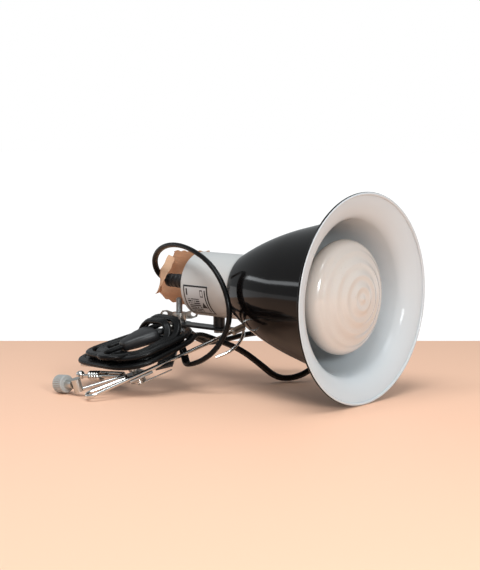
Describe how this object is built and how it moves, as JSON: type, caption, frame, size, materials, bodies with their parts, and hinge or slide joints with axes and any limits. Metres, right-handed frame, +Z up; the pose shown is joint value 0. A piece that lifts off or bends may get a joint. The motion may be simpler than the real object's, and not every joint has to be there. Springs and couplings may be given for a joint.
{
  "type": "clamp heat lamp",
  "caption": "Clamp-on heat lamp: flared enamel shade with a ceramic screw-in emitter, plastic rear housing, swivel bracket with wing nut, sprung wire clamp, cord bundle and plug",
  "frame": {"origin": "centre of the footprint of the lamp and its clamp, cord left out, on the surface it rests on", "axes": "+X runs along the lamp axis out of the mouth of the shade, +Y is to the left seen from behind, +Z up; the clamp lies behind and towards -Y"},
  "size_m": [0.204, 0.1818, 0.14],
  "materials": {
    "black_enamel": "gloss vitreous enamel outside, white enamel inside",
    "grey_housing": "fine moulded texture",
    "black_phenolic": "moulded",
    "label": "printed film",
    "porcelain": "unglazed",
    "glazed_emitter": "cream glaze",
    "brass": "bright",
    "steel": "zinc plated",
    "chrome_wire": "drawn and plated",
    "black_steel": "satin black",
    "cord_rubber": "satin",
    "plug_plastic": "moulded",
    "grey_cap": "matt",
    "card": "kraft",
    "fibre": "pressed fibre"
  },
  "bodies": {
    "clamp": {"swivel_stud": "steel", "friction_washer": "fibre", "mount_arm": "black_steel", "near_lever_wire": "chrome_wire", "wire_ferrule": "steel", "fixed_jaw_wire": "chrome_wire", "jaw_coil": "chrome_wire", "ball_head": "chrome_wire", "pin_lug": "steel", "pivot_pin": "steel", "torsion_spring": "steel", "screw_barrel": "steel", "finger_loop": "steel", "cord_loop": "cord_rubber", "cord_hank": "cord_rubber", "plug_body": "plug_plastic", "plug_pins": "brass"},
    "head": {"reflector_shade": "black_enamel", "shade_ring": "black_phenolic", "lampholder_skirt": "black_phenolic", "rear_housing": "grey_housing", "rating_label": "label", "porcelain_insert": "porcelain", "holder_screws": "steel", "terminal_screws": "brass", "screw_shell": "brass", "centre_contact": "brass", "cord_gland": "black_phenolic", "gland_nut": "black_phenolic", "bracket_strap": "steel", "bracket_bolt": "steel", "bracket_spacer": "steel", "bracket_nut": "steel", "spring_washer": "steel", "cord_lead": "cord_rubber", "kraft_card": "card", "card_strip": "card"},
    "emitter": {"emitter_body": "glazed_emitter", "emitter_cap": "steel", "emitter_insulator": "black_phenolic", "emitter_contact": "brass"},
    "wing": {"wing_nut": "steel"},
    "jaw": {"moving_jaw_wire": "chrome_wire", "jaw_hub": "steel", "finger_tab": "steel"},
    "thumb": {"thumb_stem": "steel", "thumb_cap": "grey_cap"}
  },
  "joints": [
    {"name": "head_swivel", "type": "hinge", "parent": "clamp", "child": "head", "pos_m": [-0.06847, 0.02089, 0.04], "axis": [0, 0, 1], "range_deg": [-12, 18], "deforming": ["cord_lead"]},
    {"name": "wing_turn", "type": "hinge", "parent": "clamp", "child": "wing", "pos_m": [-0.06847, 0.02089, 0.044], "axis": [0, 0, 1], "continuous": true},
    {"name": "emitter_unscrew", "type": "slide", "parent": "head", "child": "emitter", "axis": [1, 0, 0], "range_m": [0, 0.12]},
    {"name": "jaw_open", "type": "hinge", "parent": "clamp", "child": "jaw", "pos_m": [-0.04151, -0.05277, 0.0187], "axis": [0.0991, 0.2927, -0.9511], "range_deg": [0, 14], "stiffness_Nm_per_rad": 0.8, "springref_deg": -17.19, "deforming": ["torsion_spring"]},
    {"name": "thumb_turn", "type": "hinge", "parent": "clamp", "child": "thumb", "pos_m": [-0.08179, -0.08133, 0.00669], "axis": [-0.9951, 0.0356, -0.0927], "continuous": true}
  ]
}
